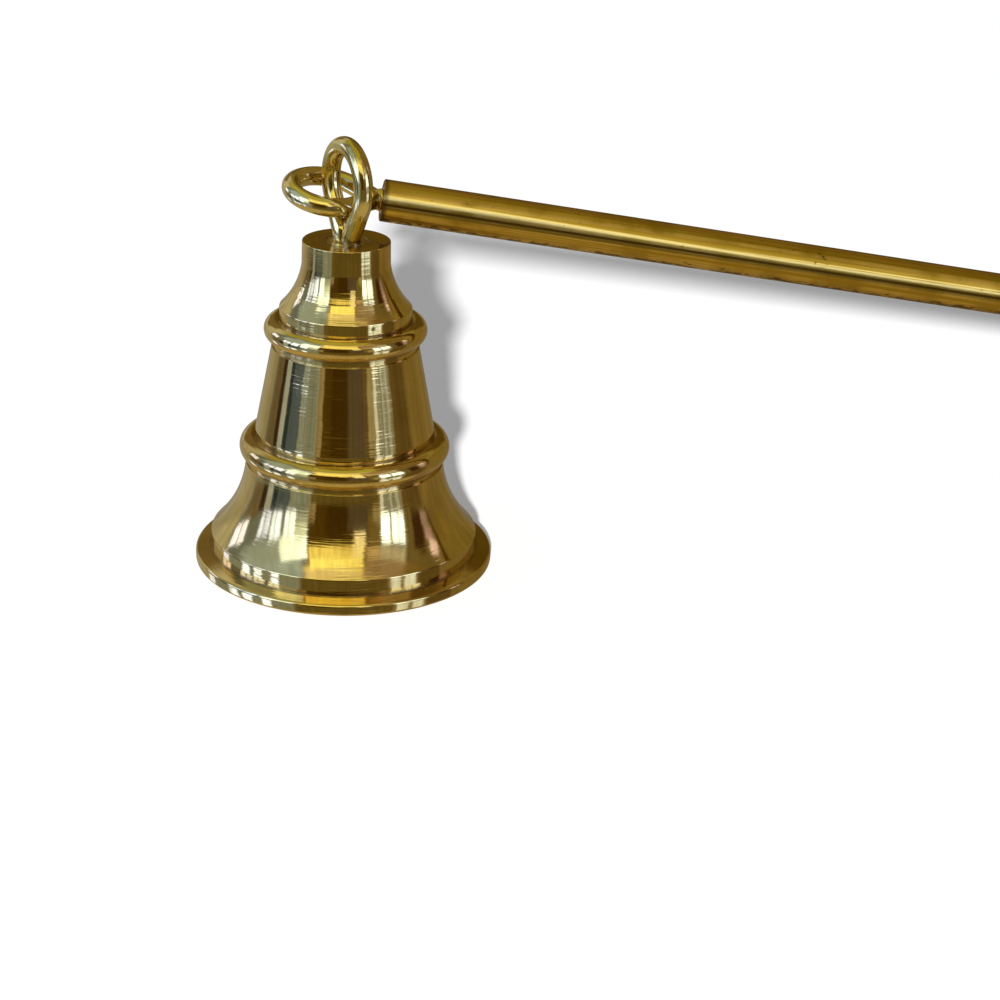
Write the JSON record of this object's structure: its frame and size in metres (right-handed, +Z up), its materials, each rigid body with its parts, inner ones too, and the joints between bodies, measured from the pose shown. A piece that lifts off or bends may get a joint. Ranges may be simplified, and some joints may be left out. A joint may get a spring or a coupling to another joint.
{
  "type": "candle snuffer",
  "caption": "Brass candle snuffer: a turned bell hung by linked wire eyes from a long straight tube handle that ends in a ball knob.",
  "frame": {"origin": "centre of the bell's rim, on the surface it stands on", "axes": "+Z up along the bell's axis; +X along the handle's run, away from the bell; +Y to the handle's far side"},
  "size_m": [0.2751, 0.0344, 0.0498],
  "materials": {
    "turned_brass": "bright turned, with fine tool lines",
    "wire_brass": "polished wire",
    "plug_brass": "bright, tinted by the braze",
    "tube_brass": "drawn and polished, lightly tarnished",
    "knob_brass": "bright turned"
  },
  "bodies": {
    "handle": {"handle_tube": "tube_brass", "eye_plug": "plug_brass", "end_knob": "knob_brass"},
    "handle_eye": {"handle_eye": "wire_brass"},
    "bell_eye": {"bell_eye": "wire_brass"},
    "bell": {"snuffer_bell": "turned_brass"}
  },
  "joints": [
    {"name": "eye_turn", "type": "hinge", "parent": "handle", "child": "handle_eye", "pos_m": [0.00408, 0.003, 0.04193], "axis": [0.9889, 0, -0.1488], "range_deg": [-35, 35]},
    {"name": "bell_swing", "type": "hinge", "parent": "handle_eye", "child": "bell_eye", "pos_m": [-0.0016, 0.003, 0.0435], "axis": [0, 1, 0], "range_deg": [-10, 62]},
    {"name": "bell_turn", "type": "hinge", "parent": "bell_eye", "child": "bell", "pos_m": [0, 0, 0.03815], "axis": [0, 0, 1], "continuous": true}
  ]
}
